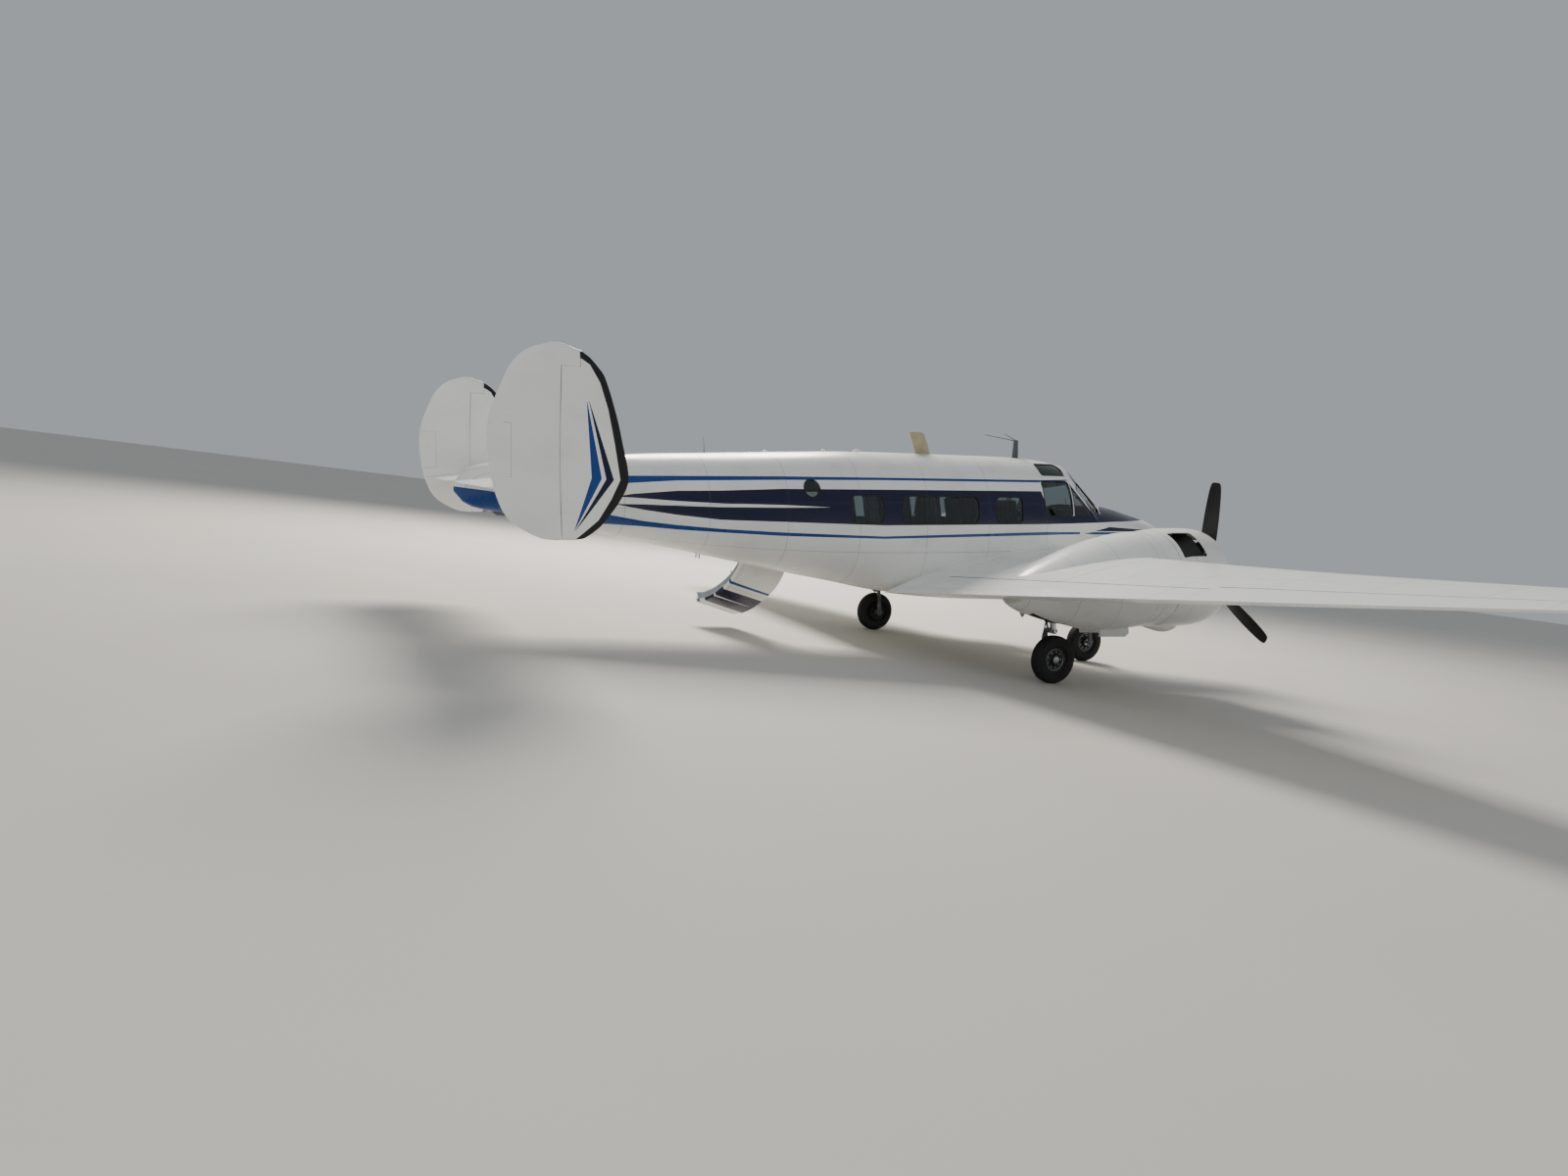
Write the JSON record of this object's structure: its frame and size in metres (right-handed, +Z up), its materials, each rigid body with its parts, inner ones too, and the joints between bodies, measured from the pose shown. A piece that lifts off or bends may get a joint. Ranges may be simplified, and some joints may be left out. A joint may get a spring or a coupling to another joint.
{
  "type": "twin-engine light aircraft",
  "caption": "Low-wing twin-engine light aircraft with twin fins, radial engines, tricycle landing gear and an open airstair, parked nose-up.",
  "frame": {"origin": "on the ground under the middle of the bounding box", "axes": "+X towards the nose, +Y to port, +Z up; the airframe sits 6.3 degrees nose-up"},
  "size_m": [10.6877, 15.14, 2.9525],
  "materials": {
    "antenna": "moulded",
    "blade": "satin black paint",
    "engine": "cast, oily",
    "glass": "clear",
    "lining": "matt trim",
    "panel": "matt black",
    "rim": "cast wheel",
    "seat": "woven cover",
    "skin": "gloss white paint on aluminium sheet",
    "steel": "machined and painted steel",
    "tyre": "matt black"
  },
  "bodies": {
    "airframe": {"aft_bulkhead": "lining", "antenna_blade": "antenna", "antenna_mast": "panel", "cabin_floor": "skin", "cabin_glazing_left": "glass", "cabin_glazing_right": "glass", "cabin_seats_left": "seat", "cabin_seats_right": "seat", "cabin_shell": "skin", "centre_wing_left": "skin", "centre_wing_right": "skin", "cockpit_glazing_left": "glass", "cockpit_glazing_right": "glass", "cockpit_shell": "skin", "cowling_left": "skin", "cowling_right": "skin", "crew_seat_left": "seat", "crew_seat_right": "seat", "engine_left": "engine", "engine_right": "engine", "fin_left": "skin", "fin_right": "skin", "instrument_panel": "panel", "main_leg_left": "steel", "main_leg_right": "steel", "nacelle_left": "skin", "nacelle_right": "skin", "nose_leg": "steel", "nose_section": "skin", "outer_wing_left": "skin", "outer_wing_right": "skin", "tail_cone": "skin", "tailplane": "skin", "windscreen_left": "glass", "windscreen_right": "glass"},
    "flap_left": {"flap_left": "skin"},
    "aileron_left": {"aileron_left": "skin"},
    "elevator_left": {"elevator_left": "skin"},
    "rudder_left": {"rudder_left": "skin"},
    "propeller_left": {"propeller_left": "blade"},
    "main_wheel_left": {"main_wheel_left": "rim", "main_tyre_left": "tyre"},
    "flap_right": {"flap_right": "skin"},
    "aileron_right": {"aileron_right": "skin"},
    "elevator_right": {"elevator_right": "skin"},
    "rudder_right": {"rudder_right": "skin"},
    "propeller_right": {"propeller_right": "blade"},
    "main_wheel_right": {"main_wheel_right": "rim", "main_tyre_right": "tyre"},
    "nose_fork": {"nose_fork": "steel"},
    "nose_wheel": {"nose_wheel": "rim", "nose_tyre": "tyre"},
    "airstair": {"airstair": "skin"}
  },
  "joints": [
    {"name": "flap_left_hinge", "type": "hinge", "parent": "airframe", "child": "flap_left", "pos_m": [0.45589, 0.96, 0.9287], "axis": [-0.0484, -0.9935, -0.1031], "range_deg": [0, 45]},
    {"name": "flap_right_hinge", "type": "hinge", "parent": "airframe", "child": "flap_right", "pos_m": [0.45589, -0.96, 0.9287], "axis": [0.0484, -0.9935, 0.1031], "range_deg": [0, 45]},
    {"name": "aileron_left_hinge", "type": "hinge", "parent": "airframe", "child": "aileron_left", "pos_m": [0.71106, 4.6, 1.31718], "axis": [-0.0359, -0.9939, -0.1045], "range_deg": [-20, 20]},
    {"name": "aileron_right_hinge", "type": "hinge", "parent": "airframe", "child": "aileron_right", "pos_m": [0.71106, -4.6, 1.31718], "axis": [0.0359, -0.9939, 0.1045], "range_deg": [-20, 20]},
    {"name": "elevator_left_hinge", "type": "hinge", "parent": "airframe", "child": "elevator_left", "pos_m": [-4.74808, 0.205, 1.51667], "axis": [0, -1, 0], "range_deg": [-25, 25]},
    {"name": "elevator_right_hinge", "type": "hinge", "parent": "airframe", "child": "elevator_right", "pos_m": [-4.74808, -0.205, 1.51667], "axis": [0, -1, 0], "range_deg": [-25, 25]},
    {"name": "rudder_left_hinge", "type": "hinge", "parent": "airframe", "child": "rudder_left", "pos_m": [-4.76421, 2.271, 1.84488], "axis": [-0.1098, 0, 0.994], "range_deg": [-25, 25]},
    {"name": "rudder_right_hinge", "type": "hinge", "parent": "airframe", "child": "rudder_right", "pos_m": [-4.76421, -2.271, 1.84488], "axis": [-0.1098, 0, 0.994], "range_deg": [-25, 25]},
    {"name": "propeller_left_spin", "type": "hinge", "parent": "airframe", "child": "propeller_left", "pos_m": [3.55202, 1.97, 1.4444], "axis": [0.994, 0, 0.1098], "continuous": true},
    {"name": "propeller_right_spin", "type": "hinge", "parent": "airframe", "child": "propeller_right", "pos_m": [3.55202, -1.97, 1.4444], "axis": [0.994, 0, 0.1098], "continuous": true},
    {"name": "main_wheel_left_spin", "type": "hinge", "parent": "airframe", "child": "main_wheel_left", "pos_m": [1.305, 1.97, 0.28], "axis": [0, 1, 0], "continuous": true},
    {"name": "main_wheel_right_spin", "type": "hinge", "parent": "airframe", "child": "main_wheel_right", "pos_m": [1.305, -1.97, 0.28], "axis": [0, 1, 0], "continuous": true},
    {"name": "nose_steer", "type": "hinge", "parent": "airframe", "child": "nose_fork", "pos_m": [3.642, 0, 0.28], "axis": [-0.1098, 0, 0.994], "range_deg": [-30, 30]},
    {"name": "nose_wheel_spin", "type": "hinge", "parent": "nose_fork", "child": "nose_wheel", "pos_m": [3.642, 0, 0.28], "axis": [0, 1, 0], "continuous": true},
    {"name": "airstair_hinge", "type": "hinge", "parent": "airframe", "child": "airstair", "pos_m": [-1.02294, 0.47, 0.94616], "axis": [-0.9957, -0.0327, 0.0872], "range_deg": [-132, 0]}
  ],
  "couplings": [
    {"joint": "flap_right_hinge", "follows": "flap_left_hinge", "ratio": 1},
    {"joint": "aileron_right_hinge", "follows": "aileron_left_hinge", "ratio": -1},
    {"joint": "elevator_right_hinge", "follows": "elevator_left_hinge", "ratio": 1},
    {"joint": "rudder_right_hinge", "follows": "rudder_left_hinge", "ratio": 1}
  ]
}
